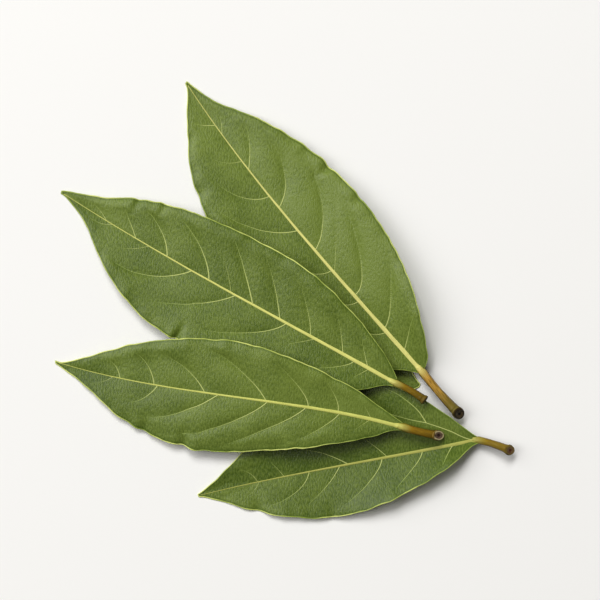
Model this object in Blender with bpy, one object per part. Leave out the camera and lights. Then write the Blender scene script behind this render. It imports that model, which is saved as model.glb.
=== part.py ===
"""A bunch of picked bay leaves lying in a fan on a flat surface.

Five loose leaves lie over each other with their stalks together at one side. Each leaf grew as
one piece, so each is one solid: a blade folded slightly along its midrib, the tapering midrib,
and the stalk that ends in a wider, cut foot.

Every leaf is drawn in its own frame: the origin is where the blade meets the stalk, +X runs
along the leaf to its tip, +Y is the leaf's left side and +Z is up from the surface. Lengths in
the constants are millimetres, headings are degrees.
"""

import math

import bmesh
import bpy
from mathutils import Vector

MM = 0.001

BLADE_THICKNESS = 0.45
BLADE_BASE_HALF_WIDTH = 0.9
BLADE_TIP_HALF_WIDTH = 0.3
BLADE_ROWS = 26
BLADE_COLUMNS_PER_SIDE = 5
FOLD_POWER = 1.25          # above 1, so that the two halves curve up out of the fold
RIM_WAVE = 0.35            # the rims rise and fall by this much along the leaf
RIM_WAVES = 3.0            # how many times they do so from the base to the tip

MIDRIB_BASE_RADIUS = 0.75
MIDRIB_TIP_RADIUS = 0.22
MIDRIB_END = 0.96          # the midrib sinks into the blade just before the tip
MIDRIB_RINGS = 22
MIDRIB_MERGE = 0.05        # share of the length over which the midrib widens into the stalk
STALK_RINGS = 8
STALK_SIDES = 12
FOOT_START = 0.72          # share of the stalk after which it widens to its cut foot

# Half widths are measured from the midrib, at nine stations between the base and the tip that
# crowd towards both ends. Heights (of the midrib above the surface) and slopes (how steeply each
# half rises from the midrib) are given at the base, at each quarter of the length and at the tip.
LEAVES = {
    "leaf_top_right": {
        "base": (34.14, -17.82),
        "heading": 129.2,
        "length": 92.9,
        "bow": 6.9,
        "skew": -3.1,
        "left_widths": (2.6, 8.5, 13.2, 16.5, 17.6, 15.9, 12.2, 5.9, 1.0),
        "right_widths": (3.7, 7.5, 12.4, 16.0, 16.9, 14.8, 9.9, 3.6, 1.0),
        "heights": (2.6, 2.5, 1.9, 1.0, 0.15),
        "left_slopes": (0.05, 0.03, 0.03, 0.07, 0.10),
        "right_slopes": (0.60, 0.30, 0.13, 0.09, 0.10),
        "wave_start": 0.1,
        "stalk_end": (-14.4, -0.5, 3.4),
        "stalk_radius": 1.10,
        "foot_radius": 1.35,
        "colour": (0.10, 0.19, 0.045, 1.0),
    },
    "leaf_upper_left": {
        "base": (27.46, -20.54),
        "heading": 150.3,
        "length": 95.9,
        "bow": 3.0,
        "skew": -2.4,
        "left_widths": (2.0, 7.2, 11.8, 15.6, 16.8, 16.0, 10.6, 3.3, 0.5),
        "right_widths": (2.7, 6.5, 10.7, 14.0, 14.3, 13.0, 9.5, 4.1, 1.4),
        "heights": (4.7, 4.5, 3.6, 1.9, 0.15),
        "left_slopes": (0.06, 0.04, 0.02, 0.04, 0.08),
        "right_slopes": (0.15, 0.12, 0.12, 0.12, 0.10),
        "wave_start": 0.6,
        "stalk_end": (-8.7, 0.1, 4.8),
        "stalk_radius": 0.95,
        "foot_radius": 1.08,
        "colour": (0.11, 0.20, 0.045, 1.0),
    },
    "leaf_middle": {
        "base": (29.71, -31.44),
        "heading": 169.5,
        "length": 88.0,
        "bow": 1.3,
        "skew": -8.8,
        "left_widths": (1.5, 4.8, 8.6, 11.8, 14.1, 13.4, 9.3, 3.6, 1.0),
        "right_widths": (1.7, 4.4, 8.0, 11.4, 13.5, 12.3, 8.7, 3.6, 0.4),
        "heights": (4.6, 5.7, 5.2, 2.6, 0.15),
        "left_slopes": (0.02, -0.05, -0.14, -0.10, 0.05),
        "right_slopes": (0.10, 0.10, 0.10, 0.10, 0.10),
        "wave_start": 0.35,
        "stalk_end": (-9.4, 0.5, 3.8),
        "stalk_radius": 1.05,
        "foot_radius": 1.20,
        "colour": (0.10, 0.18, 0.040, 1.0),
    },
    "leaf_bottom": {
        "base": (48.36, -34.90),
        "heading": 191.4,
        "length": 71.0,
        "bow": -1.3,
        "skew": 1.9,
        "left_widths": (1.3, 4.2, 7.5, 10.6, 12.2, 10.9, 7.6, 3.4, 0.8),
        "right_widths": (2.5, 8.2, 15.2, 19.6, 18.9, 14.1, 9.0, 3.8, 1.0),
        "heights": (1.9, 1.1, 0.7, 0.5, 0.15),
        "left_slopes": (0.65, 0.38, 0.10, 0.06, 0.05),
        "right_slopes": (0.15, 0.08, 0.05, 0.08, 0.10),
        "wave_start": 0.85,
        "stalk_end": (-7.5, 4.1, 3.2),
        "stalk_radius": 1.00,
        "foot_radius": 1.18,
        "colour": (0.11, 0.20, 0.040, 1.0),
    },
    "leaf_hidden": {
        "base": (-0.12, -0.10),
        "heading": -32.0,
        "length": 40.0,
        "bow": 1.0,
        "skew": 0.0,
        "left_widths": (1.2, 3.4, 5.6, 7.0, 7.2, 6.2, 4.2, 1.8, 0.5),
        "right_widths": (1.2, 3.4, 5.6, 7.0, 7.4, 6.8, 5.2, 3.2, 1.7),
        "heights": (0.5, 0.2, 0.2, 0.2, 0.2),
        "left_slopes": (0.02, 0.02, 0.02, 0.02, 0.02),
        "right_slopes": (0.02, 0.02, 0.02, 0.02, 0.02),
        "wave_start": 0.0,
        "stalk_end": (-5.0, 0.4, 0.65),
        "stalk_radius": 0.65,
        "foot_radius": 0.75,
        "colour": (0.12, 0.20, 0.050, 1.0),
    },
}


def smooth_through(values, position):
    """Read a Catmull-Rom curve through evenly spaced values; position runs from 0 to 1."""
    last = len(values) - 1
    scaled = min(max(position, 0.0), 1.0) * last
    index = min(int(scaled), last - 1)
    share = scaled - index
    before = values[index - 1] if index else values[1]
    after = values[index + 2] if index + 2 <= last else values[last - 1]
    start, end = values[index], values[index + 1]
    return 0.5 * (
        2.0 * start
        + (end - before) * share
        + (2.0 * before - 5.0 * start + 4.0 * end - after) * share**2
        + (3.0 * start - before - 3.0 * end + after) * share**3
    )


def half_width(leaf, side, along):
    """Half width on one side, at a share of the length; the stations follow a cosine."""
    stations = (BLADE_BASE_HALF_WIDTH, *leaf[side + "_widths"], BLADE_TIP_HALF_WIDTH)
    return smooth_through(stations, math.acos(1.0 - 2.0 * along) / math.pi)


def midrib_offset(leaf, along):
    """How far the midrib bows to the leaf's left, away from the straight line to the tip."""
    return along * (1.0 - along) * (leaf["bow"] + leaf["skew"] * (1.0 - 2.0 * along))


def blade_height(leaf, along, across):
    """Height of the blade's middle surface; across runs from -1 (right rim) to 1 (left rim)."""
    side = "left" if across > 0.0 else "right"
    rise = smooth_through(leaf[side + "_slopes"], along) * half_width(leaf, side, along)
    turns = RIM_WAVES * along + leaf["wave_start"] + across / 4.0
    wave = RIM_WAVE * math.sin(2.0 * math.pi * turns) * math.sin(math.pi * along) * across**2
    return smooth_through(leaf["heights"], along) + rise * abs(across) ** FOLD_POWER + wave


def blade_point(leaf, along, across):
    side = "left" if across > 0.0 else "right"
    return Vector((
        along * leaf["length"],
        midrib_offset(leaf, along) + across * half_width(leaf, side, along),
        blade_height(leaf, along, across),
    ))


def make_blade(leaf):
    """A closed sheet: rows run from the base to the tip, columns from rim to rim."""
    columns = [step / BLADE_COLUMNS_PER_SIDE
               for step in range(-BLADE_COLUMNS_PER_SIDE, BLADE_COLUMNS_PER_SIDE + 1)]
    shape = bmesh.new()
    lift = Vector((0.0, 0.0, BLADE_THICKNESS / 2.0))
    top, bottom = [], []
    for row in range(BLADE_ROWS + 1):
        along = (1.0 - math.cos(math.pi * row / BLADE_ROWS)) / 2.0
        points = [blade_point(leaf, along, across) for across in columns]
        top.append([shape.verts.new((point + lift) * MM) for point in points])
        bottom.append([shape.verts.new((point - lift) * MM) for point in points])
    for row in range(BLADE_ROWS):
        for col in range(len(columns) - 1):
            shape.faces.new((top[row][col], top[row + 1][col],
                             top[row + 1][col + 1], top[row][col + 1]))
            shape.faces.new((bottom[row][col], bottom[row][col + 1],
                             bottom[row + 1][col + 1], bottom[row + 1][col]))
        for col in (0, -1):
            shape.faces.new((top[row][col], bottom[row][col],
                             bottom[row + 1][col], top[row + 1][col]))
    for row in (0, -1):
        for col in range(len(columns) - 1):
            shape.faces.new((top[row][col], top[row][col + 1],
                             bottom[row][col + 1], bottom[row][col]))
    bmesh.ops.recalc_face_normals(shape, faces=shape.faces)
    return finish_mesh("blade", shape)


def make_rib(leaf):
    """The stalk and the midrib: one round bar from the cut foot to just before the tip."""
    base = Vector((0.0, 0.0, leaf["heights"][0]))
    end = Vector(leaf["stalk_end"])
    rings = []
    for step in range(STALK_RINGS):
        outward = 1.0 - step / STALK_RINGS
        flare = max(0.0, (outward - FOOT_START) / (1.0 - FOOT_START))
        radius = leaf["stalk_radius"] + (leaf["foot_radius"] - leaf["stalk_radius"]) * flare
        rings.append((base.lerp(end, outward), radius))
    for step in range(MIDRIB_RINGS + 1):
        along = MIDRIB_END * (step / MIDRIB_RINGS) ** 1.3
        centre = blade_point(leaf, along, 0.0)
        taper = MIDRIB_BASE_RADIUS + (MIDRIB_TIP_RADIUS - MIDRIB_BASE_RADIUS) * along**0.8
        merge = max(0.0, 1.0 - along / MIDRIB_MERGE)
        rings.append((centre, taper + (leaf["stalk_radius"] - MIDRIB_BASE_RADIUS) * merge))
    shape = bmesh.new()
    loops = []
    for index, (centre, radius) in enumerate(rings):
        ahead = rings[min(index + 1, len(rings) - 1)][0]
        behind = rings[max(index - 1, 0)][0]
        forward = (ahead - behind).normalized()
        sideways = Vector((0.0, 0.0, 1.0)).cross(forward).normalized()
        upward = forward.cross(sideways)
        loop = []
        for side in range(STALK_SIDES):
            turn = 2.0 * math.pi * side / STALK_SIDES
            spoke = sideways * math.cos(turn) + upward * math.sin(turn)
            loop.append(shape.verts.new((centre + spoke * radius) * MM))
        loops.append(loop)
    for near, far in zip(loops, loops[1:]):
        for side in range(STALK_SIDES):
            following = (side + 1) % STALK_SIDES
            shape.faces.new((near[side], near[following], far[following], far[side]))
    shape.faces.new(loops[0])
    shape.faces.new(loops[-1])
    bmesh.ops.recalc_face_normals(shape, faces=shape.faces)
    return finish_mesh("rib", shape)


def finish_mesh(name, shape):
    mesh = bpy.data.meshes.new(name)
    shape.to_mesh(mesh)
    shape.free()
    return mesh


def add_object(name, mesh):
    thing = bpy.data.objects.new(name, mesh)
    bpy.context.scene.collection.objects.link(thing)
    return thing


def hide_tool(tool):
    tool.hide_render = True
    tool.display_type = "WIRE"


def add_boolean(thing, tool, operation):
    modifier = thing.modifiers.new(operation.lower(), "BOOLEAN")
    modifier.operation = operation
    modifier.object = tool
    modifier.solver = "EXACT"


def leaf_material(name, colour):
    material = bpy.data.materials.new(name)
    material.use_nodes = True
    shader = material.node_tree.nodes["Principled BSDF"]
    shader.inputs["Base Color"].default_value = colour
    shader.inputs["Roughness"].default_value = 0.5
    shader.inputs["Metallic"].default_value = 0.0
    return material


def make_surface():
    """The space below the surface that the leaves lie on; it trims them flat at z = 0."""
    shape = bmesh.new()
    bmesh.ops.create_cube(shape, size=1.0)
    bmesh.ops.scale(shape, vec=(200.0 * MM, 200.0 * MM, 10.0 * MM), verts=shape.verts)
    bmesh.ops.translate(shape, vec=(0.0, 0.0, -5.0 * MM), verts=shape.verts)
    surface = add_object("below_surface", finish_mesh("below_surface", shape))
    hide_tool(surface)
    return surface


def make_leaf(name, leaf, bunch, surface):
    thing = add_object(name, make_blade(leaf))
    rib = add_object(name + "_rib", make_rib(leaf))
    hide_tool(rib)
    rib.parent = thing
    thing.parent = bunch
    thing.location = (leaf["base"][0] * MM, leaf["base"][1] * MM, 0.0)
    thing.rotation_euler = (0.0, 0.0, math.radians(leaf["heading"]))
    thing.data.materials.append(leaf_material(name, leaf["colour"]))
    add_boolean(thing, rib, "UNION")
    add_boolean(thing, surface, "DIFFERENCE")
    thing.data.shade_smooth()


def main():
    for thing in list(bpy.data.objects):
        bpy.data.objects.remove(thing, do_unlink=True)
    bunch = add_object("bay_leaves", None)
    surface = make_surface()
    for name, leaf in LEAVES.items():
        make_leaf(name, leaf, bunch, surface)


main()
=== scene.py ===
"""Five picked bay leaves lying over each other in a fan: the finish of every leaf.

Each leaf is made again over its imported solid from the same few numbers, with what the solid
leaves out: a thin blade that puffs up between its veins, the veins and the pale rim, the tapering
midrib, the ridged stalk and its cut foot.

A leaf is drawn in its own frame: the origin is where the blade meets the stalk, +X runs along
the leaf to its tip, +Y is the leaf's left side and +Z is up. Lengths in the constants are
millimetres, headings are degrees, "along" is a share of the blade's length from its base, and
"across" runs from -1 at the right rim to 1 at the left rim.
"""

import math

import bpy
from mathutils import Matrix, Vector, noise


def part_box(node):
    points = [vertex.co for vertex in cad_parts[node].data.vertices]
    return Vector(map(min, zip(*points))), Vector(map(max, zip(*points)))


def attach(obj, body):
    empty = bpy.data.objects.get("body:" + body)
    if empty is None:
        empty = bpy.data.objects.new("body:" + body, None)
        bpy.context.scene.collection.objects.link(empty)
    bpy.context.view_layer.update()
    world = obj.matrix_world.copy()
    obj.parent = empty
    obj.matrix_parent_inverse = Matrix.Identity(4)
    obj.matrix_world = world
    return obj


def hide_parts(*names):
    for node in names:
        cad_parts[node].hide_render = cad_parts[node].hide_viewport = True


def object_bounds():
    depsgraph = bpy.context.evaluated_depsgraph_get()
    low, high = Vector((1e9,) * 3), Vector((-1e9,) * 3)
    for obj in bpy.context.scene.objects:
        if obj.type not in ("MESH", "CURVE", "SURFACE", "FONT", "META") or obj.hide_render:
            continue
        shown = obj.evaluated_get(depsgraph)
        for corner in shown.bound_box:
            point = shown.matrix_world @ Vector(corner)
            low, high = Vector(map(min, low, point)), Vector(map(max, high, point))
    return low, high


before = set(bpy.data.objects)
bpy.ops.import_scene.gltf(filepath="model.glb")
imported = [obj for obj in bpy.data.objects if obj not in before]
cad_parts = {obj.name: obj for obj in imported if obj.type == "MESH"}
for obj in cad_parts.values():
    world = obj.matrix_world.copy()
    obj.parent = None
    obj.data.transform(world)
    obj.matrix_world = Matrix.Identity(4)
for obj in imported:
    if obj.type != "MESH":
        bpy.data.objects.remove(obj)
cad_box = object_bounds()

MM = 0.001

# The blade's shape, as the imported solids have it.
BLADE_BASE_HALF_WIDTH = 0.9
BLADE_TIP_HALF_WIDTH = 0.3
FOLD_POWER = 1.25
RIM_WAVE = 0.35
RIM_WAVES = 3.0
RIM_WAVE_SHIFT = 0.25      # a share of a wave by which each rim's waves differ from the midrib's

# The blade's finer shape.
BLADE_ROWS = 250
BLADE_COLUMNS = 96
BLADE_THICKNESS = 0.28
RIM_THICKNESS = 0.18
RIM_THINS = 1.0            # the blade thins to that over this distance from the rim
LOWEST = 0.02              # nothing reaches lower than this above the floor
PILLOW_RISE = 0.98         # how far the blade puffs up between veins
PILLOW_REACH = 2.4         # and how far from a vein it has done most of that
PILLOW_SINK = 0.35         # the share of that rise by which the veins lie below the blade
PILLOW_RIM = (-1.0, 3.0)   # the puffs grow between these distances from the rim
MIDRIB_VALLEY = 2.6        # how far from the midrib the blade has risen out of its valley
VEIN_SLANT = 0.75          # a vein leans, so it is nearer than the distance along the leaf
VEIN_CORE = 0.15           # rounds the bottom of a vein's valley
VALLEY_ENDS = (0.15, -0.35)    # a valley fades out between these shares round its vein's end
RIPPLES = ((15.0, 0.20), (5.0, 0.06))    # wavelength and height of the blade's unevenness
RAGGED_STEP = 2.8          # the rim wanders in and out at about this spacing
RAGGED_DEPTH = 0.26
NICK_DIP = 1.5             # a nick also bends the rim down, by this share of its depth
NICK_DEPTH = 3.0           # and reaches this far into the blade
RUFFLE_HEIGHT = 0.26       # the rim's own small waves
RUFFLE_STEP = 3.4
RUFFLE_DEPTH = 2.6         # they reach this far into the blade
CURL_REACH = 2.6           # how far from the rim the blade begins to curl down
NO_CURL = (0.0, 0.0)
NARROW = 4.0               # where a half is narrower than this, its rim calms down

# Lateral veins and rim.
VEIN_STEPS = 30
BAR_SIDES = 8
VEIN_HALF_WIDTH = 0.17
VEIN_THINNEST = 0.35       # the share of that width that a vein keeps at its far end
VEIN_TAPER = 0.3           # a low power, so a vein stays strong until close to its end
VEIN_RISE = 0.075          # how far a lateral vein stands out of the blade's face
VEIN_SINK = 0.02           # how far its far end sinks into the blade
RIM_STEPS = 320
RIM_RADIUS = 0.16
RIM_VARIATION = 0.3
RIM_THINNEST = 0.65        # the share of its radius that the rim has at the base
RIM_FULL = 0.3             # and the share of the length after which it has all of it

# Midrib.
MIDRIB_RINGS = 220
MIDRIB_CROWDING = 1.2      # a power above 1 crowds the rings towards the base
MIDRIB_END = 0.99
MIDRIB_TIP_RADIUS = 0.10
MIDRIB_TAPER = 0.65
MIDRIB_RISE = 0.34         # how far the midrib stands out of the blade, as a share of its radius
MIDRIB_MERGE = 0.025       # share of the length over which the midrib widens into the stalk
MIDRIB_JOIN = 0.9          # its radius there, as a share of the stalk's

# Stalk.
STALK_RINGS = 70
ROUND_SIDES = 32
SLEEVE_LENGTH = 1.2        # the stalk begins as a sleeve over the midrib
SLEEVE_START = 0.7         # the sleeve's radius where it begins, as a share of the stalk's
SLEEVE_BLEND = 0.5         # the share of a sleeve's length past the blade where it is full size
SMOOTH_RINGS = 8           # so many rings at the start of the sleeve have no ridges
STALK_WAIST = 0.08         # how much the stalk narrows between the blade and the foot
FOOT_START = 0.72          # the share of the stalk after which it widens into the foot
STALK_RIDGES = 0.07        # depth of the ridges and dents, as a share of the radius
RIDGE_SHARE = 1.2          # how much of that the ridges take
DENT_SHARE = 0.8           # and how much the dents take
RIDGE_TURNS = 1.6          # how close the ridges stand round the stalk
RIDGE_LENGTH = 5.0
DENT_TURNS = 2.5

# Foot.
KNOB_START = 0.86          # share of the stalk after which the knob at the cut begins
KNOB_NECK = 0.3            # up to this share of its length, the knob follows the stalk
KNOB_WOBBLE = 0.10
KNOB_TURNS = 2.0
# The knob's outline: share of its length, radius as a share of the foot's, and 1 on the cut face.
KNOB_PROFILE = ((0.0, 1.0, 0.0), (0.12, 1.0, 0.0), (0.25, 1.0, 0.0), (0.40, 1.02, 0.0),
                (0.55, 1.07, 0.0), (0.70, 1.10, 0.0), (0.82, 1.09, 0.0), (0.91, 1.04, 0.0),
                (0.97, 0.96, 0.3), (1.00, 0.86, 1.0), (1.00, 0.78, 1.0), (0.97, 0.70, 1.0),
                (0.95, 0.55, 1.0), (0.94, 0.40, 1.0), (0.92, 0.28, 1.0), (0.86, 0.20, 1.0),
                (0.78, 0.12, 1.0))

# Where in the noise each kind of unevenness is read, so that they differ.
RAGGED_PLACE = {"left": 0.0, "right": 50.0}
RUFFLE_PLACE = 20.0
RIDGE_PLACE = 30.0
DENT_PLACE = 60.0
KNOB_PLACE = 90.0

# A midrib bends a quarter of its bow to the left at mid length, and its skew shifts the bend.
# Half widths are measured from the midrib at nine stations that crowd towards base and tip.
# Heights, slopes and curls (how far a rim bends down) are given at the base, at each quarter of the
# length and at the tip. Tones run from 0 (dark) to 1 (light), at the base, the middle and the tip;
# besides the leaf's own colour, these hold painted sheen where a half faces the light and painted
# shade where another leaf shades it.
# wave_start shifts the long waves of the rims. A puff is the share of PILLOW_RISE that a half has.
# A vein is (start, lean, curl, reach, strength): at a share v of the half width it has come to
# start + lean * v + curl * v**2 along the blade. A route is a vein given by (along, across) points.
# A nick is (along, depth, width) on one rim, and a bump where its depth is negative.
# A stalk ends at stalk_end in the leaf's frame, with its cut face tilted by cut_slant. Colours are
# screen values, and those of the cut are its bark, the ring round it, its wood and its pith.
LEAVES = {
    "leaf_top_right": {
        "heading": 129.2,
        "length": 92.9,
        "bow": 6.9,
        "skew": -3.1,
        "left_widths": (2.6, 8.5, 13.2, 16.5, 17.6, 15.9, 12.2, 5.9, 1.0),
        "right_widths": (3.7, 7.5, 12.4, 16.0, 16.9, 14.8, 9.9, 3.6, 1.0),
        "heights": (2.6, 2.5, 1.9, 1.0, 0.15),
        "left_slopes": (0.05, 0.03, 0.03, 0.07, 0.10),
        "right_slopes": (0.60, 0.30, 0.13, 0.09, 0.10),
        "wave_start": 0.1,
        "stalk_end": (-14.4, -0.5, 3.4),
        "stalk_radius": 1.10,
        "midrib_radius": 0.95,
        "foot_radius": 1.35,
        "stalk_bow": 0.25,
        "cut_slant": 0.9,
        "rib_colour": (228, 223, 134),
        "stalk_colour": (206, 158, 66),
        "foot_colour": (104, 92, 32),
        "cut_colours": ((62, 48, 18), (32, 22, 6), (88, 72, 46), (22, 14, 6)),
        "left_veins": ((0.86, 0.06, 0.00, 0.70, 0.7), (0.74, 0.05, 0.15, 0.60, 0.4),
                       (0.62, 0.03, 0.27, 0.66, 0.8), (0.50, 0.08, 0.18, 0.88, 0.9),
                       (0.36, 0.00, 0.40, 0.55, 0.8), (0.25, 0.00, 0.30, 0.55, 0.8),
                       (0.14, 0.00, 0.25, 0.60, 0.8)),
        "right_veins": ((0.83, 0.10, 0.02, 0.60, 0.5), (0.71, 0.14, 0.01, 0.70, 0.9),
                        (0.58, 0.05, 0.22, 0.78, 1.0), (0.43, 0.05, 0.21, 0.88, 1.0),
                        (0.35, 0.18, 0.05, 0.80, 0.4), (0.27, -0.03, 0.38, 0.82, 1.0),
                        (0.15, 0.02, 0.16, 0.88, 1.0), (0.07, 0.04, 0.04, 0.78, 0.9)),
        "left_nicks": ((0.87, 0.12, 1.2), (0.74, 0.15, 1.2)),
        "right_nicks": ((0.85, 0.12, 1.2), (0.67, -0.1, 1.2), (0.605, -0.25, 1.8),
                        (0.58, 0.40, 1.2), (0.465, 0.12, 1.2)),
        "left_tones": (0.64, 0.60, 0.80),
        "right_tones": (0.80, 1.00, 0.68),
        "left_puff": 0.7,
        "right_puff": 1.05,
        "left_curl": (0.0, 0.2, 0.5, 0.5, 0.3),
    },
    "leaf_upper_left": {
        "heading": 150.3,
        "length": 95.9,
        "bow": 3.0,
        "skew": -2.4,
        "left_widths": (2.0, 7.2, 11.8, 15.6, 16.8, 16.0, 10.6, 3.3, 0.5),
        "right_widths": (2.7, 6.5, 10.7, 14.0, 14.3, 13.0, 9.5, 4.1, 1.4),
        "heights": (4.7, 4.5, 3.6, 1.9, 0.15),
        "left_slopes": (0.06, 0.04, 0.02, 0.04, 0.08),
        "right_slopes": (0.15, 0.12, 0.12, 0.12, 0.10),
        "wave_start": 0.6,
        "stalk_end": (-8.7, 0.1, 4.8),
        "stalk_radius": 0.95,
        "midrib_radius": 0.76,
        "foot_radius": 1.08,
        "stalk_bow": -0.3,
        "cut_slant": 0.2,
        "rib_colour": (224, 222, 126),
        "stalk_colour": (142, 112, 16),
        "foot_colour": (90, 72, 6),
        "cut_colours": ((104, 84, 28), (52, 42, 6), (116, 98, 56), (60, 46, 18)),
        "left_veins": ((0.84, 0.12, 0.03, 0.60, 0.4), (0.73, 0.14, 0.08, 0.60, 0.4),
                       (0.60, 0.15, 0.16, 0.76, 1.0), (0.47, 0.13, 0.18, 0.74, 1.0),
                       (0.32, 0.06, 0.29, 0.74, 1.0), (0.235, 0.15, 0.10, 0.40, 0.5),
                       (0.12, 0.00, 0.25, 0.62, 0.8), (0.075, 0.04, 0.02, 0.60, 0.6)),
        "right_veins": ((0.86, 0.10, 0.00, 0.55, 0.5), (0.77, 0.12, -0.03, 0.62, 0.8),
                        (0.675, 0.07, 0.10, 0.76, 1.2), (0.55, 0.08, 0.12, 0.84, 1.3),
                        (0.485, 0.10, 0.07, 0.88, 0.4), (0.42, 0.13, 0.02, 0.88, 1.3),
                        (0.34, 0.10, 0.04, 0.88, 1.0), (0.25, 0.06, 0.09, 0.80, 0.8),
                        (0.155, 0.05, 0.05, 0.80, 0.8), (0.08, 0.06, 0.02, 0.75, 0.8)),
        "left_nicks": ((0.83, 0.12, 1.0), (0.72, -0.12, 1.2), (0.565, -0.2, 1.5), (0.55, 0.6, 1.0)),
        "right_nicks": ((0.825, -0.12, 1.0), (0.81, 0.15, 0.8), (0.76, -0.12, 1.0),
                        (0.745, 0.15, 0.8)),
        "left_tones": (0.38, 0.56, 0.45),
        "right_tones": (0.76, 0.52, 0.86),
        "left_puff": 0.65,
        "right_puff": 1.1,
    },
    "leaf_middle": {
        "heading": 169.5,
        "length": 88.0,
        "bow": 1.3,
        "skew": -8.8,
        "left_widths": (1.5, 4.8, 8.6, 11.8, 14.1, 13.4, 9.3, 3.6, 1.0),
        "right_widths": (1.7, 4.4, 8.0, 11.4, 13.5, 12.3, 8.7, 3.6, 0.4),
        "heights": (4.6, 5.7, 5.2, 2.6, 0.15),
        "left_slopes": (0.02, -0.05, -0.14, -0.10, 0.05),
        "right_slopes": (0.10, 0.10, 0.10, 0.10, 0.10),
        "wave_start": 0.35,
        "stalk_end": (-9.4, 0.5, 3.8),
        "stalk_radius": 1.05,
        "midrib_radius": 0.75,
        "foot_radius": 1.20,
        "stalk_bow": 0.2,
        "cut_slant": 1.3,
        "rib_colour": (212, 214, 114),
        "stalk_colour": (148, 114, 14),
        "foot_colour": (104, 80, 10),
        "cut_colours": ((150, 122, 62), (222, 206, 156), (128, 102, 84), (56, 34, 30)),
        "left_veins": ((0.83, 0.08, 0.05, 0.55, 0.4), (0.70, 0.055, 0.14, 0.55, 0.8),
                       (0.525, 0.185, 0.12, 0.70, 1.0), (0.385, 0.10, 0.22, 0.86, 1.0),
                       (0.275, 0.08, 0.18, 0.88, 1.0), (0.18, 0.03, 0.12, 0.82, 0.9),
                       (0.09, 0.05, 0.04, 0.70, 0.5)),
        "right_veins": ((0.81, 0.02, 0.07, 0.66, 0.8), (0.71, 0.035, 0.07, 0.78, 0.9),
                        (0.565, 0.10, 0.14, 0.72, 1.0), (0.39, 0.10, 0.15, 0.90, 1.0),
                        (0.27, 0.02, 0.145, 0.85, 1.0), (0.185, 0.00, 0.07, 0.82, 0.9),
                        (0.09, 0.03, 0.03, 0.70, 0.5)),
        "left_nicks": ((0.74, -0.15, 1.6), (0.715, 0.25, 1.4), (0.60, 0.35, 1.4),
                       (0.57, -0.25, 1.8)),
        "right_nicks": ((0.64, -0.2, 1.6), (0.53, -0.15, 1.6)),
        "left_tones": (0.62, 0.70, 0.25),
        "right_tones": (1.00, 0.74, 0.55),
        "left_puff": 0.6,
        "right_puff": 1.0,
        "left_curl": (0.2, 0.4, 0.4, 0.0, 0.0),
    },
    "leaf_bottom": {
        "heading": 191.4,
        "length": 71.0,
        "bow": -1.3,
        "skew": 1.9,
        "left_widths": (1.3, 4.2, 7.5, 10.6, 12.2, 10.9, 7.6, 3.4, 0.8),
        "right_widths": (2.5, 8.2, 15.2, 19.6, 18.9, 14.1, 9.0, 3.8, 1.0),
        "heights": (1.9, 1.1, 0.7, 0.5, 0.15),
        "left_slopes": (0.65, 0.38, 0.10, 0.06, 0.05),
        "right_slopes": (0.15, 0.08, 0.05, 0.08, 0.10),
        "wave_start": 0.85,
        "stalk_end": (-7.5, 4.1, 3.2),
        "stalk_radius": 1.00,
        "midrib_radius": 0.75,
        "foot_radius": 1.18,
        "stalk_bow": -0.3,
        "cut_slant": 0.9,
        # Darker than the other ribs: painted shade, as this midrib lies in the shade of
        # leaf_middle.
        "rib_colour": (178, 178, 92),
        "stalk_colour": (144, 122, 22),
        "foot_colour": (116, 94, 14),
        "cut_colours": ((118, 98, 34), (124, 104, 42), (118, 92, 56), (84, 40, 22)),
        "left_veins": ((0.78, 0.06, 0.10, 0.70, 0.3), (0.60, 0.06, 0.21, 0.82, 0.7),
                       (0.49, 0.13, 0.10, 0.76, 0.7), (0.34, 0.035, 0.21, 0.84, 0.8),
                       (0.195, 0.03, 0.15, 0.82, 0.8), (0.085, 0.06, 0.01, 0.78, 0.7)),
        "right_veins": ((0.785, 0.04, 0.10, 0.66, 0.45), (0.69, 0.09, 0.03, 0.44, 0.45),
                        (0.46, 0.33, 0.20, 0.50, 0.9), (0.32, 0.20, 0.15, 0.60, 0.6)),
        "routes": (((0.01, -0.10), (0.075, -0.44), (0.155, -0.515), (0.205, -0.52), (0.254, -0.55),
                    (0.31, -0.62), (0.37, -0.76)),
                   ((0.163, -0.515), (0.17, -0.60), (0.18, -0.70), (0.197, -0.78),
                    (0.225, -0.86), (0.262, -0.92), (0.31, -0.945))),
        "left_nicks": ((0.797, 0.35, 1.6), (0.55, 0.12, 1.2), (0.33, -0.12, 1.4)),
        "right_nicks": ((0.62, 0.12, 1.2),),
        "left_tones": (0.28, 0.32, 0.70),
        # Darkest at the middle: painted shade where leaf_middle shades this half.
        "right_tones": (0.62, 0.20, 0.40),
        "left_puff": 0.38,
        "right_puff": 0.55,
    },
    "leaf_hidden": {
        "heading": -32.0,
        "length": 40.0,
        "bow": 1.0,
        "skew": 0.0,
        "left_widths": (1.2, 3.4, 5.6, 7.0, 7.2, 6.2, 4.2, 1.8, 0.5),
        "right_widths": (1.2, 3.4, 5.6, 7.0, 7.4, 6.8, 5.2, 3.2, 1.7),
        "heights": (0.5, 0.2, 0.2, 0.2, 0.2),
        "left_slopes": (0.02, 0.02, 0.02, 0.02, 0.02),
        "right_slopes": (0.02, 0.02, 0.02, 0.02, 0.02),
        "wave_start": 0.0,
        "stalk_end": (-5.0, 0.4, 0.65),
        "stalk_radius": 0.65,
        "midrib_radius": 0.60,
        "foot_radius": 0.75,
        "stalk_bow": 0.1,
        "cut_slant": 0.3,
        "rib_colour": (106, 122, 48),
        "stalk_colour": (140, 112, 34),
        "foot_colour": (108, 88, 30),
        "cut_colours": ((90, 72, 28), (56, 42, 16), (120, 100, 64), (60, 40, 20)),
        "left_veins": ((0.70, 0.10, 0.08, 0.70, 0.8), (0.52, 0.10, 0.12, 0.75, 0.9),
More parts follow.
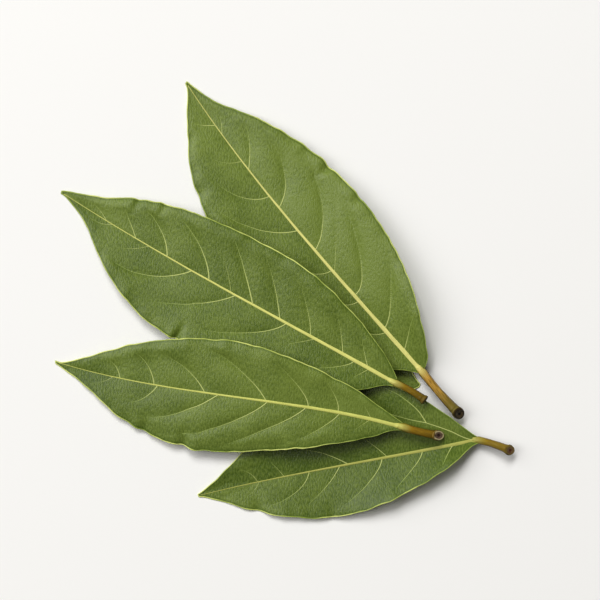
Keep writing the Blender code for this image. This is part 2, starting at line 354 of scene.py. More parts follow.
                       (0.36, 0.10, 0.12, 0.80, 1.0), (0.20, 0.08, 0.12, 0.80, 0.9)),
        "right_veins": ((0.76, 0.10, 0.08, 0.70, 0.8), (0.58, 0.10, 0.12, 0.75, 0.9),
                        (0.42, 0.10, 0.12, 0.80, 1.0), (0.26, 0.08, 0.12, 0.80, 0.9),
                        (0.12, 0.08, 0.06, 0.75, 0.8)),
        # Light all over: painted light on a lobe that lies in the other leaves' shade.
        "left_tones": (0.95, 0.95, 0.95),
        "right_tones": (0.95, 0.95, 0.95),
        "left_puff": 0.8,
        "right_puff": 0.8,
    },
}


# ---------------------------------------------------------------- the shape of a leaf


def smooth_through(values, position):
    """Reads a Catmull-Rom curve through evenly spaced values, at a position from 0 to 1."""
    last = len(values) - 1
    scaled = min(max(position, 0.0), 1.0) * last
    index = min(int(scaled), last - 1)
    share = scaled - index
    before = values[index - 1] if index else values[1]
    after = values[index + 2] if index + 2 <= last else values[last - 1]
    start, end = values[index], values[index + 1]
    return 0.5 * (
        2.0 * start
        + (end - before) * share
        + (2.0 * before - 5.0 * start + 4.0 * end - after) * share**2
        + (3.0 * start - before - 3.0 * end + after) * share**3
    )


def smooth_step(low, high, value):
    """Goes smoothly from 0 where value is low to 1 where it is high."""
    share = min(max((value - low) / (high - low), 0.0), 1.0)
    return share * share * (3.0 - 2.0 * share)


def wander(leaf, *place):
    """Smooth noise from about -0.6 to 0.6, different on every leaf."""
    return noise.noise(Vector((*place, 0.0, 0.0)[:3]) + Vector((0.0, 0.0, leaf["heading"])))


def half_width(leaf, side, along):
    """Half width on one side of the midrib, with the rim's small irregularities."""
    stations = (BLADE_BASE_HALF_WIDTH, *leaf[side + "_widths"], BLADE_TIP_HALF_WIDTH)
    width = smooth_through(stations, math.acos(1.0 - 2.0 * along) / math.pi)
    ragged = wander(leaf, along * leaf["length"] / RAGGED_STEP, RAGGED_PLACE[side])
    width += RAGGED_DEPTH * ragged * smooth_step(0.0, NARROW, width)
    for place, depth, reach in leaf.get(side + "_nicks", ()):
        width -= depth * math.exp(-(((along - place) * leaf["length"] / reach) ** 2))
    return width


def midrib_offset(leaf, along):
    """How far the midrib bows to the leaf's left, away from the straight line to the tip."""
    return along * (1.0 - along) * (leaf["bow"] + leaf["skew"] * (1.0 - 2.0 * along))


class Row:
    """What the points at one place along a leaf share."""

    def __init__(self, leaf, along):
        self.leaf = leaf
        self.along = along
        self.x = along * leaf["length"]
        self.offset = midrib_offset(leaf, along)
        self.widths = {side: half_width(leaf, side, along) for side in ("left", "right")}
        self.slopes = {side: smooth_through(leaf[side + "_slopes"], along)
                       for side in ("left", "right")}
        self.tones = {side: smooth_through(leaf[side + "_tones"], along)
                      for side in ("left", "right")}
        self.curls = {side: smooth_through(leaf.get(side + "_curl", NO_CURL), along)
                      for side in ("left", "right")}
        self.height = smooth_through(leaf["heights"], along)

    def point(self, across):
        """A point of the blade's middle surface, before it puffs up between the veins."""
        side = "left" if across > 0.0 else "right"
        width = self.widths[side]
        y = self.offset + across * width
        rise = self.slopes[side] * width * abs(across) ** FOLD_POWER
        turns = RIM_WAVES * self.along + self.leaf["wave_start"] + RIM_WAVE_SHIFT * across
        wave = math.sin(2.0 * math.pi * turns) * math.sin(math.pi * self.along) * across**2
        z = self.height + rise + RIM_WAVE * wave
        for length, height in RIPPLES:
            z += height * wander(self.leaf, self.x / length, y / length)
        return Vector((self.x, y, max(z, BLADE_THICKNESS / 2.0 + LOWEST)))

    def relief(self, across):
        """How far the blade puffs up between its veins, less how far its rim bends down."""
        side = "left" if across > 0.0 else "right"
        out = abs(across)
        rib = out * self.widths[side]
        rim = (1.0 - out) * self.widths[side]
        risen = 1.0 - math.exp(-rib / MIDRIB_VALLEY)
        for start, lean, curl, reach, strength in self.leaf[side + "_veins"]:
            gap = self.along - start - lean * out - curl * out**2
            distance = math.hypot(gap * self.leaf["length"] * VEIN_SLANT, VEIN_CORE)
            ended, whole = (reach + end for end in VALLEY_ENDS)
            fade = min(strength, 1.0) * smooth_step(ended, whole, out)
            risen *= 1.0 - fade * math.exp(-distance / PILLOW_REACH)
        dip = 0.0
        for place, depth, reach in self.leaf.get(side + "_nicks", ()):
            gap = (self.along - place) * self.leaf["length"]
            dip += depth * math.exp(-((gap / reach) ** 2) - (rim / NICK_DEPTH) ** 2)
        calm = smooth_step(0.0, NARROW, rib + rim)
        ruffle = RUFFLE_HEIGHT * wander(self.leaf, self.x / RUFFLE_STEP, RUFFLE_PLACE + across)
        ruffle *= math.exp(-((rim / RUFFLE_DEPTH) ** 2)) * calm
        curl = self.curls[side] * math.exp(-((rim / CURL_REACH) ** 2)) * calm
        pillow = PILLOW_RISE * (risen * self.leaf[side + "_puff"] - PILLOW_SINK)
        pillow *= smooth_step(*PILLOW_RIM, rim)
        return pillow + ruffle - curl - NICK_DIP * dip

    def face(self, across):
        """A point of the blade's middle surface as it really lies."""
        point = self.point(across)
        point.z = max(point.z + self.relief(across), BLADE_THICKNESS / 2.0 + LOWEST)
        return point


def surface_point(leaf, along, across):
    return Row(leaf, along).face(across)


def vein_paths(leaf):
    """Every lateral vein as (list of (along, across), strength), from the midrib outward."""
    paths = []
    for side, sign in (("left", 1.0), ("right", -1.0)):
        for start, lean, curl, reach, strength in leaf[side + "_veins"]:
            path = []
            for step in range(VEIN_STEPS + 1):
                out = reach * step / VEIN_STEPS
                path.append((start + lean * out + curl * out**2, sign * out))
            paths.append((path, strength))
    for route in leaf.get("routes", ()):
        path = []
        for step in range(VEIN_STEPS + 1):
            share = step / VEIN_STEPS
            path.append((smooth_through([place[0] for place in route], share),
                         smooth_through([place[1] for place in route], share)))
        paths.append((path, 1.0))
    return paths


# ---------------------------------------------------------------- making meshes


class Skin:
    """Points, faces and named values for each point, gathered into one mesh."""

    def __init__(self):
        self.points = []
        self.faces = []
        self.values = {}

    def add_point(self, point, **values):
        self.points.append((point.x, point.y, max(point.z, LOWEST)))
        for name, value in values.items():
            self.values.setdefault(name, []).append(value)
        return len(self.points) - 1

    def make_object(self, name, place):
        mesh = bpy.data.meshes.new(name)
        mesh.from_pydata(self.points, [], self.faces)
        mesh.transform(place)
        for key, numbers in self.values.items():
            if isinstance(numbers[0], Vector):
                layer = mesh.attributes.new(key, "FLOAT_VECTOR", "POINT")
                layer.data.foreach_set("vector", [part for vector in numbers for part in vector])
            else:
                layer = mesh.attributes.new(key, "FLOAT", "POINT")
                layer.data.foreach_set("value", numbers)
        mesh.shade_smooth()
        mesh.update()
        thing = bpy.data.objects.new(name, mesh)
        bpy.context.scene.collection.objects.link(thing)
        return thing


def add_bar(skin, rings, sides):
    """A closed bar: rings are (centre, half width, rise, drop, {values}) along its middle."""
    loops = []
    for index, (centre, wide, rise, drop, values) in enumerate(rings):
        ahead = rings[min(index + 1, len(rings) - 1)][0]
        behind = rings[max(index - 1, 0)][0]
        forward = (ahead - behind).normalized()
        sideways = Vector((0.0, 0.0, 1.0)).cross(forward).normalized()
        upward = forward.cross(sideways)
        loop = []
        for side in range(sides):
            turn = 2.0 * math.pi * side / sides
            up = math.sin(turn)
            spoke = sideways * (math.cos(turn) * wide) + upward * (up * (rise if up > 0 else drop))
            around = 0.5 + 0.5 * math.cos(turn)
            loop.append(skin.add_point(centre + spoke, crown=up, turn=around, **values))
        loops.append(loop)
    for near, far in zip(loops, loops[1:]):
        for side in range(sides):
            following = (side + 1) % sides
            skin.faces.append((near[side], near[following], far[following], far[side]))
    skin.faces.append(tuple(reversed(loops[0])))
    skin.faces.append(tuple(loops[-1]))
    return loops


def blade_skin(leaf):
    """The blade: a closed sheet of two faces, puffed up between the veins.

    Each point keeps its tone, its distance from the rim, whether it is on top, and where it is
    in the grain, which is laid over the leaf from above.
    """
    turned = Matrix.Rotation(math.radians(leaf["heading"]), 3, "Z")
    skin = Skin()
    top, bottom = [], []
    for row_index in range(BLADE_ROWS + 1):
        row = Row(leaf, row_index / BLADE_ROWS)
        top.append([])
        bottom.append([])
        for column in range(BLADE_COLUMNS + 1):
            across = 2.0 * column / BLADE_COLUMNS - 1.0
            side = "left" if across > 0.0 else "right"
            point = row.face(across)
            rim = (1.0 - abs(across)) * row.widths[side]
            half = 0.5 * (RIM_THICKNESS + (BLADE_THICKNESS - RIM_THICKNESS)
                          * smooth_step(0.0, RIM_THINS, rim))
            grain = turned @ Vector((point.x, point.y, 0.0))
            for line, sign in ((top[-1], 1.0), (bottom[-1], -1.0)):
                lifted = point + Vector((0.0, 0.0, sign * half))
                # Each point carries its half's painted sheen and painted shade along with the
                # leaf's own colour.
                line.append(skin.add_point(lifted, tone=row.tones[side], rim=rim,
                                           top=float(sign > 0.0), grain=grain))
    for row in range(BLADE_ROWS):
        for column in range(BLADE_COLUMNS):
            skin.faces.append((top[row][column], top[row + 1][column],
                               top[row + 1][column + 1], top[row][column + 1]))
            skin.faces.append((bottom[row][column], bottom[row][column + 1],
                               bottom[row + 1][column + 1], bottom[row + 1][column]))
        skin.faces.append((top[row][0], bottom[row][0], bottom[row + 1][0], top[row + 1][0]))
        skin.faces.append((top[row][-1], top[row + 1][-1], bottom[row + 1][-1], bottom[row][-1]))
    for column in range(BLADE_COLUMNS):
        skin.faces.append((top[0][column], top[0][column + 1],
                           bottom[0][column + 1], bottom[0][column]))
        skin.faces.append((top[-1][column], bottom[-1][column],
                           bottom[-1][column + 1], top[-1][column + 1]))
    return skin


def vein_skin(leaf):
    """The lateral veins and the rim: fine ridges that stand out of both faces of the blade."""
    skin = Skin()
    half_blade = BLADE_THICKNESS / 2.0
    for path, strength in vein_paths(leaf):
        rings = []
        for step, (along, across) in enumerate(path):
            share = step / VEIN_STEPS
            fade = strength * (1.0 - share) ** VEIN_TAPER
            rise = half_blade + VEIN_RISE * fade - VEIN_SINK * share
            wide = VEIN_HALF_WIDTH * (VEIN_THINNEST + (1.0 - VEIN_THINNEST) * fade)
            centre = surface_point(leaf, along, across)
            rings.append((centre, wide, rise, rise, {"share": share, "rim": 0.0}))
        add_bar(skin, rings, BAR_SIDES)
    rings = []
    for step in range(2 * RIM_STEPS + 1):
        turn = step / RIM_STEPS
        along = turn if turn < 1.0 else 2.0 - turn
        across = 1.0 if turn < 1.0 else -1.0
        centre = surface_point(leaf, along, across)
        thick = RIM_RADIUS * (1.0 + RIM_VARIATION * wander(leaf, centre.x, across))
        thick *= RIM_THINNEST + (1.0 - RIM_THINNEST) * smooth_step(0.0, RIM_FULL, along)
        rings.append((centre, thick, thick, thick, {"share": along, "rim": 1.0}))
    add_bar(skin, rings, BAR_SIDES)
    return skin


def rib_ring(centre, radius, rise, age):
    """A ring of a midrib or stalk, no lower than the floor, at age millimetres past the base."""
    return (centre, radius, rise, min(radius, centre.z), {"age": age})


def midrib_skin(leaf):
    """The midrib: low and broad above the blade, rounder below it, thin at the tip."""
    skin = Skin()
    rings = []
    for step in range(MIDRIB_RINGS + 1):
        along = MIDRIB_END * (step / MIDRIB_RINGS) ** MIDRIB_CROWDING
        centre = surface_point(leaf, along, 0.0)
        widest = leaf["midrib_radius"]
        taper = widest + (MIDRIB_TIP_RADIUS - widest) * along**MIDRIB_TAPER
        merge = smooth_step(MIDRIB_MERGE, 0.0, along)
        radius = taper + (MIDRIB_JOIN * leaf["stalk_radius"] - widest) * merge
        rise = (BLADE_THICKNESS / 2.0 + radius * MIDRIB_RISE) * (1.0 - merge) + radius * merge
        rings.append(rib_ring(centre, radius, rise, -along * leaf["length"]))
    add_bar(skin, rings, ROUND_SIDES)
    return skin


def stalk_centre(leaf, share):
    """The stalk's middle line, from the blade (0) to the cut (1), with a slight bow."""
    base = surface_point(leaf, 0.0, 0.0)
    end = Vector(leaf["stalk_end"])
    bow = leaf["stalk_bow"] * 4.0 * share * (1.0 - share)
    return base.lerp(end, share) + Vector((0.0, bow, 0.0))


def stalk_radius(leaf, share):
    """The stalk's radius: a slight waist, then wider towards the cut."""
    waist = 1.0 - STALK_WAIST * math.sin(math.pi * min(share / FOOT_START, 1.0))
    flare = smooth_step(FOOT_START, 1.0, share)
    return leaf["stalk_radius"] * waist + (leaf["foot_radius"] - leaf["stalk_radius"]) * flare


def roughen(skin, loops, leaf):
    """Ridges that run along the stalk, and dents in them."""
    for loop in loops:
        middle = sum((Vector(skin.points[index]) for index in loop), Vector()) / len(loop)
        for number, index in enumerate(loop):
            spoke = Vector(skin.points[index]) - middle
            turn = 2.0 * math.pi * number / len(loop)
            right, up = math.cos(turn), math.sin(turn)
            ridge = wander(leaf, RIDGE_TURNS * right + RIDGE_PLACE,
                           RIDGE_TURNS * up + middle.x / RIDGE_LENGTH)
            dent = wander(leaf, DENT_TURNS * right + DENT_PLACE, DENT_TURNS * up + middle.x)
            depth = STALK_RIDGES * (RIDGE_SHARE * ridge + DENT_SHARE * dent)
            moved = middle + spoke * (1.0 + depth)
            skin.points[index] = (moved.x, moved.y, max(moved.z, LOWEST))


def stalk_skin(leaf):
    """The stalk, which begins as a thin sleeve over the end of the midrib."""
    skin = Skin()
    rings = []
    length = (stalk_centre(leaf, 1.0) - stalk_centre(leaf, 0.0)).length
    sleeve = SLEEVE_LENGTH / length
    for step in range(STALK_RINGS + 1):
        share = -sleeve + (KNOB_START + sleeve) * step / STALK_RINGS
        radius = stalk_radius(leaf, max(share, 0.0))
        grown = smooth_step(-sleeve, SLEEVE_BLEND * sleeve, share)
        radius *= SLEEVE_START + (1.0 - SLEEVE_START) * grown
        rings.append(rib_ring(stalk_centre(leaf, share), radius, radius, share * length))
    loops = add_bar(skin, rings, ROUND_SIDES)
    roughen(skin, loops[SMOOTH_RINGS:], leaf)
    return skin


def foot_skin(leaf):
    """The knob at the cut end: its rounded rim, and the cut face with the pith's hollow."""
    skin = Skin()
    start, end = stalk_centre(leaf, KNOB_START), stalk_centre(leaf, 1.0)
    forward = (end - start).normalized()
    sideways = Vector((0.0, 0.0, 1.0)).cross(forward).normalized()
    upward = forward.cross(sideways)
    length = (end - start).length
    full = stalk_radius(leaf, 1.0)
    loops = []
    for depth, size, cut in KNOB_PROFILE:
        radius = full * size
        if depth < KNOB_NECK:
            radius = stalk_radius(leaf, KNOB_START + (1.0 - KNOB_START) * depth)
        loop = []
        for side in range(ROUND_SIDES):
            turn = 2.0 * math.pi * side / ROUND_SIDES
            up = math.sin(turn)
            uneven = wander(leaf, KNOB_TURNS * math.cos(turn) + KNOB_PLACE, KNOB_TURNS * up + depth)
            wobble = 1.0 + KNOB_WOBBLE * uneven
            spoke = (sideways * math.cos(turn) + upward * up) * (radius * wobble)
            slanted = leaf["cut_slant"] * radius * up * smooth_step(0.0, 1.0, depth)
            ahead = forward * (length * depth - slanted)
            point = start + spoke + ahead
            loop.append(skin.add_point(point, crown=up, cut=cut, core=size, age=depth))
        loops.append(loop)
    for near, far in zip(loops, loops[1:]):
        for side in range(ROUND_SIDES):
            following = (side + 1) % ROUND_SIDES
            skin.faces.append((near[side], near[following], far[following], far[side]))
    skin.faces.append(tuple(reversed(loops[0])))
    skin.faces.append(tuple(loops[-1]))
    return skin


# ---------------------------------------------------------------- materials


def linear(red, green, blue):
    """A colour given as screen values from 0 to 255."""
    def channel(value):
        share = value / 255.0
        return share / 12.92 if share <= 0.04045 else ((share + 0.055) / 1.055) ** 2.4
    return (channel(red), channel(green), channel(blue), 1.0)


# The colour sockets of the mix node, which has one set of sockets for each kind of value.
MIX_FIRST, MIX_SECOND, MIX_RESULT = 6, 7, 2


class Nodes:
    """A short way to write a node tree."""

    def __init__(self, name):
        self.material = bpy.data.materials.new(name)
        self.material.use_nodes = True
        self.tree = self.material.node_tree
        self.shader = self.tree.nodes["Principled BSDF"]

    def put(self, kind, **settings):
        node = self.tree.nodes.new(kind)
        for key, value in settings.items():
            setattr(node, key, value)
        return node

    def set(self, node, key, value):
        """Links a socket or sets its value, where key is the socket's name or number."""
        socket = node.inputs[key]
        if isinstance(value, bpy.types.NodeSocket):
            self.tree.links.new(value, socket)
        else:
            socket.default_value = value

    def set_first(self, node, *values):
        for index, value in enumerate(values):
            self.set(node, index, value)

    def value(self, name, output="Fac"):
        """A named value of the mesh."""
        return self.put("ShaderNodeAttribute", attribute_name=name).outputs[output]

    def math(self, operation, first, second, clamp=False):
        node = self.put("ShaderNodeMath", operation=operation, use_clamp=clamp)
        self.set_first(node, first, second)
        return node.outputs[0]

    def span(self, value, ends, start=0.0, end=1.0):
        """Maps a value smoothly from its two ends to start and end, and holds it beyond them."""
        node = self.put("ShaderNodeMapRange", interpolation_type="SMOOTHSTEP")
        self.set_first(node, value, *ends, start, end)
        return node.outputs[0]

    def mix(self, share, first, second):
        node = self.put("ShaderNodeMix", data_type="RGBA")
        self.set(node, 0, share)
        self.set(node, MIX_FIRST, first)
        self.set(node, MIX_SECOND, second)
        return node.outputs[MIX_RESULT]

    def noise(self, vector, scale, roughness=0.5):
        node = self.put("ShaderNodeTexNoise")
        self.set(node, "Vector", vector)
        self.set(node, "Scale", scale)
        self.set(node, "Roughness", roughness)
        return node.outputs["Fac"]

    def spots(self, scale):
        """Noise in the object's own space, where scale is per metre."""
        return self.noise(self.put("ShaderNodeTexCoord").outputs["Object"], scale)

    def joined(self, first, second):
        node = self.put("ShaderNodeCombineXYZ")
        self.set_first(node, first, second)
        return node.outputs[0]

    def stretched(self, vector, scales):
        node = self.put("ShaderNodeVectorMath", operation="MULTIPLY")
        self.set_first(node, vector, scales)
        return node.outputs[0]

    def bump(self, height, strength, distance):
        """A bump of this many millimetres."""
        node = self.put("ShaderNodeBump")
        self.set(node, "Strength", strength)
        self.set(node, "Distance", distance * MM)
        self.set(node, "Height", height)
        return node.outputs[0]

    def finish(self, colour, roughness, normal, specular):
        self.set(self.shader, "Base Color", colour)
        self.set(self.shader, "Roughness", roughness)
        self.set(self.shader, "Normal", normal)
        self.set(self.shader, "Specular IOR Level", specular)
        return self.material


# Between these two greens, each half's value also sets painted sheen and painted shade, besides the
# leaf's own colour.
LEAF_DARK = linear(66, 86, 17)
LEAF_LIGHT = linear(111, 128, 50)
LEAF_UNDER = linear(136, 149, 96)
LEAF_RIM = linear(206, 214, 118)
LEAF_RIM_DULL = linear(142, 160, 66)
LEAF_RIM_SHADE = linear(66, 88, 14)
VEIN_NEAR = linear(190, 198, 118)
VEIN_FAR = linear(144, 162, 82)
# Dark colours for the sides of the midrib and the stalk: painted shade where a round bar turns from
# the light; the midrib's dark colour also streaks its strands.
RIB_STRAND_AND_SIDE_SHADE = linear(122, 124, 36)
STALK_SIDE_SHADE = linear(70, 52, 10)
STALK_STRAND = linear(112, 86, 24)

# How fine a pattern is: per millimetre for grain and mottle, per metre for patches and spots.
GRAIN_SCALES = (2.6, 1.1, 1.0)
MOTTLE_SCALE = 0.12
RIM_PATCHES = 90.0
FINE_SPOTS = 900.0
CUT_SPOTS = 1500.0
STRANDS_ACROSS = 9.0       # strands from one side of a rib or stalk to the other
STRANDS_ALONG = 0.35       # and how fast they change along it, per millimetre
GRAIN_ROUGHNESS = 0.6      # the share of finer noise in grain and strands

# Between these ends, noise does most of its changing.
NOISE_ENDS = (0.3, 0.7)
GLOSS_NOISE_ENDS = (0.2, 0.8)
RIM_NOISE_ENDS = (0.36, 0.60)
STRAND_NOISE_ENDS = (0.35, 0.75)
PITH_NOISE_ENDS = (0.45, 0.62)

# How strongly a pattern or a shade shows, as a share.
GRAIN_TONE = 0.32
MOTTLE_TONE = 0.15
RIM_SHADE = 0.6
RIM_BASE_DULL = 0.9
RIB_GREEN = 0.2
RIB_STRANDS = 0.35
OLIVE_SHARE = 0.5
OLIVE_TINT = 0.45
PITH_SPECKS = 0.6

# Where a blade's shade at the rim ends, in millimetres from the rim.
RIM_SHADE_ENDS = (0.2, 0.9)
# Where a rim stops being dull and a vein turns green, as shares of their way from the base.
RIM_DULL_ENDS = (0.02, 0.30)
VEIN_GREEN_ENDS = (0.1, 1.0)
# Where a rib's colour changes, in millimetres past the blade's base.
OLIVE_TINT_ENDS = (-5.0, 0.5)
YELLOW_TO_OLIVE = (-1.2, 0.3)
OLIVE_TO_BROWN = (-0.2, 2.8)
# The same as shares of the blade's length, of the stalk's and of the knob's.
GREEN_TO_YELLOW = (-0.95, -0.35)
BROWN_TO_FOOT = (0.2, 0.9)
FOOT_TO_BARK = (0.2, 0.9)
# How high up its side a bar leaves its edge colour, a painted shade on the sides that turn from the
# light (on the midrib also its darker strand colour): 0 is half its height and 1 is its top.
RIB_SIDE_SHADE_ENDS = (0.35, 0.88)
STALK_SIDE_SHADE_ENDS = (0.2, 0.72)
FOOT_SIDE_SHADE_ENDS = (0.15, 0.65)
# Where a cut face's colour changes, as shares of the foot's radius.
WOOD_TO_RING = (0.66, 0.80)
WOOD_TO_PITH = (0.34, 0.26)

# The surfaces: the lowest and highest roughness, the strength and depth of the bump, and specular.
BLADE_ROUGHNESS = (0.36, 0.46)
VEIN_ROUGHNESS = (0.4, 0.5)
RIB_ROUGHNESS = (0.36, 0.48)
CUT_ROUGHNESS = (0.55, 0.75)
BLADE_BUMP = (0.85, 0.2)
VEIN_BUMP = (0.3, 0.03)
RIB_BUMP = (0.5, 0.12)
CUT_BUMP = (0.5, 0.1)
LEAF_SPECULAR = 0.5
STALK_SPECULAR = 0.3


def blade_material():
    """Green with a fine grain, mottled, darker next to the rim and paler underneath."""
    nodes = Nodes("leaf_green")
    place = nodes.value("grain", "Vector")
    grain = nodes.noise(nodes.stretched(place, GRAIN_SCALES), 1.0, GRAIN_ROUGHNESS)
    mottle = nodes.span(nodes.noise(place, MOTTLE_SCALE), NOISE_ENDS, -MOTTLE_TONE, MOTTLE_TONE)
    streaks = nodes.span(grain, NOISE_ENDS, -GRAIN_TONE, GRAIN_TONE)
    # The per-half values hold painted sheen and painted shade; the mottle and the grain are the
    # leaf's own.
    tone = nodes.math("ADD", nodes.value("tone"), mottle)
    tone = nodes.math("ADD", tone, streaks, clamp=True)
    colour = nodes.mix(tone, LEAF_DARK, LEAF_LIGHT)
    shade = nodes.span(nodes.value("rim"), RIM_SHADE_ENDS, RIM_SHADE, 0.0)
    colour = nodes.mix(shade, colour, LEAF_RIM_SHADE)
    colour = nodes.mix(nodes.value("top"), LEAF_UNDER, colour)
    roughness = nodes.span(grain, GLOSS_NOISE_ENDS, *BLADE_ROUGHNESS)
    return nodes.finish(colour, roughness, nodes.bump(grain, *BLADE_BUMP), LEAF_SPECULAR)


def vein_material():
    """Pale veins that turn greener along their way, and a patchy pale rim."""
    nodes = Nodes("vein_pale")
    share = nodes.value("share")
    vein = nodes.mix(nodes.span(share, VEIN_GREEN_ENDS), VEIN_NEAR, VEIN_FAR)
    patches = nodes.span(nodes.spots(RIM_PATCHES), RIM_NOISE_ENDS)
    rim = nodes.mix(patches, LEAF_RIM_DULL, LEAF_RIM)
    rim = nodes.mix(nodes.span(share, RIM_DULL_ENDS, RIM_BASE_DULL, 0.0), rim, LEAF_RIM_DULL)
    colour = nodes.mix(nodes.value("rim"), vein, rim)
    spots = nodes.spots(FINE_SPOTS)
    roughness = nodes.span(spots, NOISE_ENDS, *VEIN_ROUGHNESS)
    return nodes.finish(colour, roughness, nodes.bump(spots, *VEIN_BUMP), LEAF_SPECULAR)


def rib_material(name, leaf):
    """Yellow along the midrib, olive at the blade's base and brown down the stalk."""
    nodes = Nodes(name)
    age, crown = nodes.value("age"), nodes.value("crown")
    rib, stalk, foot = (linear(*leaf[part + "_colour"]) for part in ("rib", "stalk", "foot"))
    stalk_length = Vector(leaf["stalk_end"]).length
    turning = [share * leaf["length"] for share in GREEN_TO_YELLOW]
    ageing = [share * stalk_length for share in BROWN_TO_FOOT]
    across = nodes.math("MULTIPLY", nodes.value("turn"), STRANDS_ACROSS)
    along = nodes.math("MULTIPLY", age, STRANDS_ALONG)
    strands = nodes.noise(nodes.joined(across, along), 1.0, GRAIN_ROUGHNESS)
    yellow = nodes.mix(nodes.span(age, turning), nodes.mix(RIB_GREEN, rib, LEAF_LIGHT), rib)
    streaks = nodes.span(strands, STRAND_NOISE_ENDS, 0.0, RIB_STRANDS)
    yellow = nodes.mix(streaks, yellow, RIB_STRAND_AND_SIDE_SHADE)
    # Painted shade: the midrib's sides turn to the dark colour where they face away from the light.
    yellow = nodes.mix(nodes.span(crown, RIB_SIDE_SHADE_ENDS), RIB_STRAND_AND_SIDE_SHADE, yellow)
    brown = nodes.mix(nodes.span(strands, NOISE_ENDS), STALK_STRAND, stalk)
    brown = nodes.mix(nodes.span(age, ageing), brown, foot)
    # Painted shade: the stalk's sides turn dark brown where they face away from the light.
    brown = nodes.mix(nodes.span(crown, STALK_SIDE_SHADE_ENDS), STALK_SIDE_SHADE, brown)
    olive = nodes.mix(OLIVE_SHARE, yellow, brown)
    colour = nodes.mix(nodes.span(age, OLIVE_TINT_ENDS, 0.0, OLIVE_TINT), yellow, olive)
    colour = nodes.mix(nodes.span(age, YELLOW_TO_OLIVE), colour, olive)
    colour = nodes.mix(nodes.span(age, OLIVE_TO_BROWN), colour, brown)
    roughness = nodes.span(nodes.spots(FINE_SPOTS), NOISE_ENDS, *RIB_ROUGHNESS)
    return nodes.finish(colour, roughness, nodes.bump(strands, *RIB_BUMP), STALK_SPECULAR)


def foot_material(name, leaf):
    """The knob's bark, the ring round the cut, the wood of the cut face and the pith."""
    nodes = Nodes(name)
    core, crown = nodes.value("core"), nodes.value("crown")
    bark, ring, wood, pith = (linear(*colour) for colour in leaf["cut_colours"])
    spots = nodes.spots(CUT_SPOTS)
    wood = nodes.mix(nodes.span(spots, PITH_NOISE_ENDS, 0.0, PITH_SPECKS), wood, pith)
    face = nodes.mix(nodes.span(core, WOOD_TO_RING), wood, ring)
    face = nodes.mix(nodes.span(core, WOOD_TO_PITH), face, pith)
    weathered = nodes.span(nodes.value("age"), FOOT_TO_BARK)
    side = nodes.mix(weathered, linear(*leaf["foot_colour"]), bark)
    # Painted shade: the knob's sides turn dark brown where they face away from the light.
    side = nodes.mix(nodes.span(crown, FOOT_SIDE_SHADE_ENDS), STALK_SIDE_SHADE, side)
    colour = nodes.mix(nodes.value("cut"), side, face)
    roughness = nodes.span(spots, NOISE_ENDS, *CUT_ROUGHNESS)
    return nodes.finish(colour, roughness, nodes.bump(spots, *CUT_BUMP), STALK_SPECULAR)


# ---------------------------------------------------------------- putting the leaves in place


def place_of(name, leaf, outline):
    """Where a leaf's own frame lies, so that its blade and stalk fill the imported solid's box."""
    low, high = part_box(name)
    turned = Matrix.Rotation(math.radians(leaf["heading"]), 4, "Z") @ Matrix.Scale(MM, 4)
    points = [turned @ Vector(point) for point in outline]
    centre_x = (min(point.x for point in points) + max(point.x for point in points)) / 2.0
    centre_y = (min(point.y for point in points) + max(point.y for point in points)) / 2.0
    middle = (low + high) / 2.0
    return Matrix.Translation((middle.x - centre_x, middle.y - centre_y, 0.0)) @ turned


def add_piece(name, skin, place, material, node):
    piece = skin.make_object(name, place)
    piece.data.materials.append(material)
    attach(piece, "root")
    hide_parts(node)


def make_leaf(name, leaf, materials):
    blade, stalk, foot = blade_skin(leaf), stalk_skin(leaf), foot_skin(leaf)
    place = place_of(name, leaf, blade.points + stalk.points + foot.points)
    rib = rib_material(name + "_rib", leaf)
    cut = foot_material(name + "_cut", leaf)
    add_piece(name + "_blade", blade, place, materials["blade"], name)
    add_piece(name + "_veins", vein_skin(leaf), place, materials["veins"], name)
    add_piece(name + "_midrib", midrib_skin(leaf), place, rib, name)
    add_piece(name + "_stalk", stalk, place, rib, name)
    add_piece(name + "_foot", foot, place, cut, name)


# ---------------------------------------------------------------- floor, light and camera

# Lengths here are metres, but for the sensor's width in millimetres.
CAMERA_HEIGHT = 0.60
CAMERA_VIEW = 0.150        # width of the floor that the camera sees
SENSOR = 36.0
VIEW_OFFSET = (3.81 * MM, -0.04 * MM)    # from the middle of the bunch to the middle of the view
FLOOR_SIZE = 6.0
FLOOR_COLOUR = linear(243, 242, 240)
FLOOR_ROUGHNESS = 0.9
FLOOR_SPECULAR = 0.1
STUDIO_WHITE = (1.0, 0.997, 0.992)
FILL_WHITE = (1.0, 0.985, 0.89)
WORLD_STRENGTH = 0.11
LIGHT_DISTANCE = 2.4
# The direction towards each light, its size, its power in watts and whether it gleams.
LIGHTS = {
    "window_above": ((-0.17, 0.62, 0.77), 0.96, 37.0, False),
    "window_left": ((-0.66, 0.27, 0.70), 2.1, 46.3, True),
}


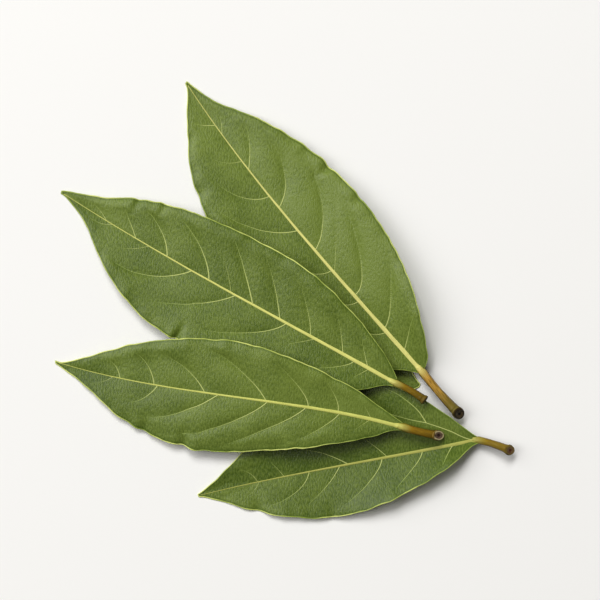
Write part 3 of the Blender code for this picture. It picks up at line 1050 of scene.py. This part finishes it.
def make_floor():
    mesh = bpy.data.meshes.new("floor")
    half = FLOOR_SIZE / 2.0
    mesh.from_pydata([(-half, -half, 0), (half, -half, 0), (half, half, 0), (-half, half, 0)], [],
                     [(0, 1, 2, 3)])
    floor = bpy.data.objects.new("floor", mesh)
    bpy.context.scene.collection.objects.link(floor)
    nodes = Nodes("floor_pale")
    nodes.set(nodes.shader, "Base Color", FLOOR_COLOUR)
    nodes.set(nodes.shader, "Roughness", FLOOR_ROUGHNESS)
    nodes.set(nodes.shader, "Specular IOR Level", FLOOR_SPECULAR)
    mesh.materials.append(nodes.material)


def add_light(name, direction, size, power, gleams, target):
    light = bpy.data.lights.new(name, "AREA")
    light.shape = "SQUARE"
    light.size = size
    light.energy = power
    light.color = STUDIO_WHITE
    lamp = bpy.data.objects.new(name, light)
    bpy.context.scene.collection.objects.link(lamp)
    towards = Vector(direction).normalized()
    lamp.location = target + towards * LIGHT_DISTANCE
    lamp.rotation_mode = "QUATERNION"
    lamp.rotation_quaternion = towards.to_track_quat("Z", "Y")
    lamp.visible_camera = False
    lamp.visible_glossy = gleams


def make_world():
    world = bpy.data.worlds.new("studio")
    world.use_nodes = True
    background = world.node_tree.nodes["Background"]
    background.inputs["Color"].default_value = (*FILL_WHITE, 1.0)
    background.inputs["Strength"].default_value = WORLD_STRENGTH
    bpy.context.scene.world = world


def make_camera(target):
    data = bpy.data.cameras.new("camera")
    data.sensor_width = SENSOR
    data.lens = SENSOR * CAMERA_HEIGHT / CAMERA_VIEW
    camera = bpy.data.objects.new("camera", data)
    bpy.context.scene.collection.objects.link(camera)
    camera.location = target + Vector((*VIEW_OFFSET, CAMERA_HEIGHT))
    bpy.context.scene.camera = camera


materials = {
    "blade": blade_material(),
    "veins": vein_material(),
}
for leaf_name, leaf_numbers in LEAVES.items():
    make_leaf(leaf_name, leaf_numbers, materials)

bunch_middle = (cad_box[0] + cad_box[1]) / 2.0
bunch_middle.z = 0.0
make_floor()
make_world()
for light_name, light_numbers in LIGHTS.items():
    add_light(light_name, *light_numbers, bunch_middle)
make_camera(bunch_middle)
bpy.context.scene.view_settings.view_transform = "Standard"
